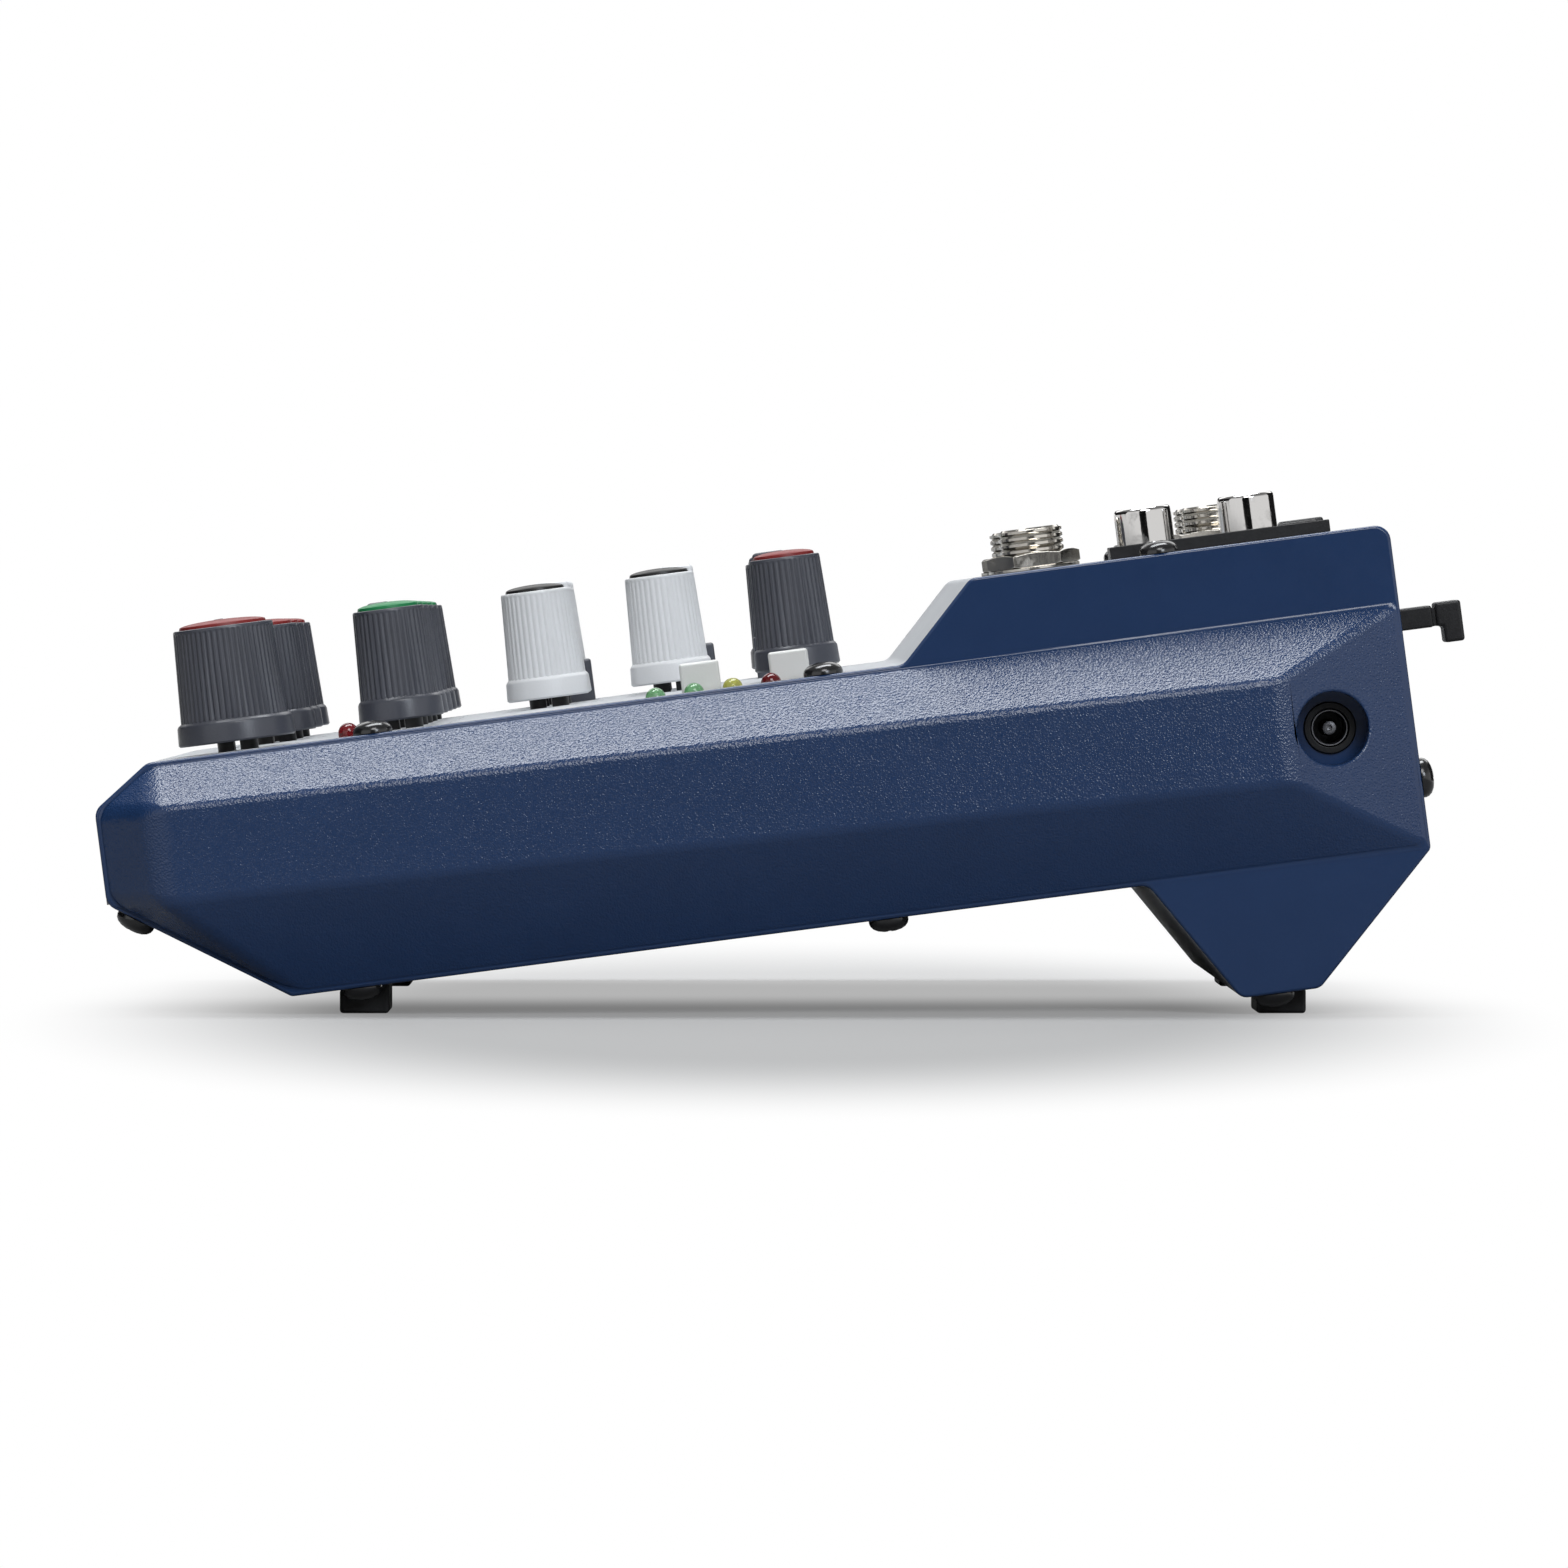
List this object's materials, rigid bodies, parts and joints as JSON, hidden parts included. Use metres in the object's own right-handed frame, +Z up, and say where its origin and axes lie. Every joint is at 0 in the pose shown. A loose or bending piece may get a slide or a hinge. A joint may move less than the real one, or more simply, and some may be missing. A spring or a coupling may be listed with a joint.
{
  "type": "mixing console",
  "caption": "Compact desk mixing console: wedge case with blue faceted cheeks, turning capped knobs, push buttons, lights and a raised socket deck.",
  "frame": {"origin": "on the table, under the middle of the console's box, cable hook included", "axes": "+X to the user's right, +Y to the rear, +Z up"},
  "size_m": [0.176, 0.1996, 0.0762],
  "materials": {
    "cheek": "dark blue moulded plastic, fine spark texture on the relief",
    "panel": "light grey powder coat",
    "knob_dark": "dark grey satin",
    "knob_light": "light grey satin",
    "cap_red": "brick red satin",
    "cap_green": "green satin",
    "cap_black": "black satin",
    "button_white": "white satin",
    "rubber": "black rubber",
    "screw": "black zinc",
    "black_plastic": "black moulded plastic",
    "nickel": "nickel plate",
    "board": "green solder mask",
    "ribbon": "grey insulation",
    "light": "clear tinted domes: red, green, green, yellow, red"
  },
  "bodies": {
    "case": {"cheek_left": "cheek", "cheek_right": "cheek", "top_panel": "panel", "base_pan": "panel", "feet": "rubber", "case_screws": "screw", "cable_hook": "black_plastic", "circuit_boards": "board", "board_components": "black_plastic", "board_spacers": "nickel", "ribbon_cable": "ribbon", "indicator_leds": "light", "jack_bodies": "nickel", "jack_nuts": "nickel", "phono_block": "black_plastic", "phono_sleeves": "nickel", "combo_shell": "black_plastic", "combo_core": "black_plastic", "dc_inlet": "black_plastic", "inlet_pin": "nickel"},
    "level_1": {"level_1_knob": "knob_dark", "level_1_cap": "cap_red"},
    "level_2": {"level_2_knob": "knob_dark", "level_2_cap": "cap_red"},
    "level_3": {"level_3_knob": "knob_dark", "level_3_cap": "cap_red"},
    "send_1": {"send_1_knob": "knob_dark", "send_1_cap": "cap_green"},
    "send_2": {"send_2_knob": "knob_dark", "send_2_cap": "cap_green"},
    "send_3": {"send_3_knob": "knob_dark", "send_3_cap": "cap_green"},
    "send_4": {"send_4_knob": "knob_dark", "send_4_cap": "cap_green"},
    "send_5": {"send_5_knob": "knob_dark", "send_5_cap": "cap_green"},
    "low_1": {"low_1_knob": "knob_light", "low_1_cap": "cap_black"},
    "low_2": {"low_2_knob": "knob_light", "low_2_cap": "cap_black"},
    "low_3": {"low_3_knob": "knob_light", "low_3_cap": "cap_black"},
    "high_1": {"high_1_knob": "knob_light", "high_1_cap": "cap_black"},
    "high_2": {"high_2_knob": "knob_light", "high_2_cap": "cap_black"},
    "high_3": {"high_3_knob": "knob_light", "high_3_cap": "cap_black"},
    "gain_1": {"gain_1_knob": "knob_dark", "gain_1_cap": "cap_red"},
    "gain_5": {"gain_5_knob": "knob_dark", "gain_5_cap": "cap_red"},
    "main_level": {"main_level_knob": "knob_dark", "main_level_cap": "cap_red"},
    "phones_key": {"phones_button": "button_white"},
    "monitor_key": {"monitor_button": "button_white"},
    "mute_key": {"mute_button": "knob_dark"},
    "filter_key": {"filter_button": "knob_dark"},
    "boost_key": {"boost_button": "knob_dark"},
    "latch": {"combo_latch": "black_plastic"}
  },
  "joints": [
    {"name": "level_1_turn", "type": "hinge", "parent": "case", "child": "level_1", "pos_m": [-0.066, -0.0763, 0.03862], "axis": [0, -0.1288, 0.9917], "range_deg": [-300, 0]},
    {"name": "level_2_turn", "type": "hinge", "parent": "case", "child": "level_2", "pos_m": [-0.035, -0.0763, 0.03862], "axis": [0, -0.1288, 0.9917], "range_deg": [-300, 0]},
    {"name": "level_3_turn", "type": "hinge", "parent": "case", "child": "level_3", "pos_m": [-0.004, -0.0763, 0.03862], "axis": [0, -0.1288, 0.9917], "range_deg": [-300, 0]},
    {"name": "send_1_turn", "type": "hinge", "parent": "case", "child": "send_1", "pos_m": [-0.066, -0.05558, 0.04131], "axis": [0, -0.1288, 0.9917], "range_deg": [-274, 26]},
    {"name": "send_2_turn", "type": "hinge", "parent": "case", "child": "send_2", "pos_m": [-0.035, -0.05558, 0.04131], "axis": [0, -0.1288, 0.9917], "range_deg": [-274, 26]},
    {"name": "send_3_turn", "type": "hinge", "parent": "case", "child": "send_3", "pos_m": [-0.004, -0.05558, 0.04131], "axis": [0, -0.1288, 0.9917], "range_deg": [-274, 26]},
    {"name": "send_4_turn", "type": "hinge", "parent": "case", "child": "send_4", "pos_m": [0.027, -0.05558, 0.04131], "axis": [0, -0.1288, 0.9917], "range_deg": [-274, 26]},
    {"name": "send_5_turn", "type": "hinge", "parent": "case", "child": "send_5", "pos_m": [0.058, -0.05558, 0.04131], "axis": [0, -0.1288, 0.9917], "range_deg": [-274, 26]},
    {"name": "low_1_turn", "type": "hinge", "parent": "case", "child": "low_1", "pos_m": [-0.066, -0.03485, 0.044], "axis": [0, -0.1288, 0.9917], "range_deg": [-150, 150]},
    {"name": "low_2_turn", "type": "hinge", "parent": "case", "child": "low_2", "pos_m": [-0.035, -0.03485, 0.044], "axis": [0, -0.1288, 0.9917], "range_deg": [-150, 150]},
    {"name": "low_3_turn", "type": "hinge", "parent": "case", "child": "low_3", "pos_m": [-0.004, -0.03485, 0.044], "axis": [0, -0.1288, 0.9917], "range_deg": [-150, 150]},
    {"name": "high_1_turn", "type": "hinge", "parent": "case", "child": "high_1", "pos_m": [-0.066, -0.01601, 0.04645], "axis": [0, -0.1288, 0.9917], "range_deg": [-150, 150]},
    {"name": "high_2_turn", "type": "hinge", "parent": "case", "child": "high_2", "pos_m": [-0.035, -0.01601, 0.04645], "axis": [0, -0.1288, 0.9917], "range_deg": [-150, 150]},
    {"name": "high_3_turn", "type": "hinge", "parent": "case", "child": "high_3", "pos_m": [-0.004, -0.01601, 0.04645], "axis": [0, -0.1288, 0.9917], "range_deg": [-150, 150]},
    {"name": "gain_1_turn", "type": "hinge", "parent": "case", "child": "gain_1", "pos_m": [-0.066, 0.00253, 0.04886], "axis": [0, -0.1288, 0.9917], "range_deg": [-300, 0]},
    {"name": "gain_5_turn", "type": "hinge", "parent": "case", "child": "gain_5", "pos_m": [0.058, 0.00253, 0.04886], "axis": [0, -0.1288, 0.9917], "range_deg": [-300, 0]},
    {"name": "main_level_turn", "type": "hinge", "parent": "case", "child": "main_level", "pos_m": [0.058, -0.07977, 0.03816], "axis": [0, -0.1288, 0.9917], "range_deg": [-250, 50]},
    {"name": "phones_button_press", "type": "slide", "parent": "case", "child": "phones_key", "axis": [0, 0.1288, -0.9917], "range_m": [0, 0.002], "stiffness_N_per_m": 400, "springref_m": -0.0005},
    {"name": "monitor_button_press", "type": "slide", "parent": "case", "child": "monitor_key", "axis": [0, 0.1288, -0.9917], "range_m": [0, 0.002], "stiffness_N_per_m": 400, "springref_m": -0.0005},
    {"name": "mute_button_press", "type": "slide", "parent": "case", "child": "mute_key", "axis": [0, 0.1288, -0.9917], "range_m": [0, 0.002], "stiffness_N_per_m": 400, "springref_m": -0.0005},
    {"name": "filter_button_press", "type": "slide", "parent": "case", "child": "filter_key", "axis": [0, 0.1288, -0.9917], "range_m": [0, 0.002], "stiffness_N_per_m": 400, "springref_m": -0.0005},
    {"name": "boost_button_press", "type": "slide", "parent": "case", "child": "boost_key", "axis": [0, 0.1288, -0.9917], "range_m": [0, 0.002], "stiffness_N_per_m": 400, "springref_m": -0.0005},
    {"name": "latch_press", "type": "slide", "parent": "case", "child": "latch", "axis": [0, 0.1288, -0.9917], "range_m": [0, 0.0009], "stiffness_N_per_m": 600, "springref_m": -0.0005}
  ]
}
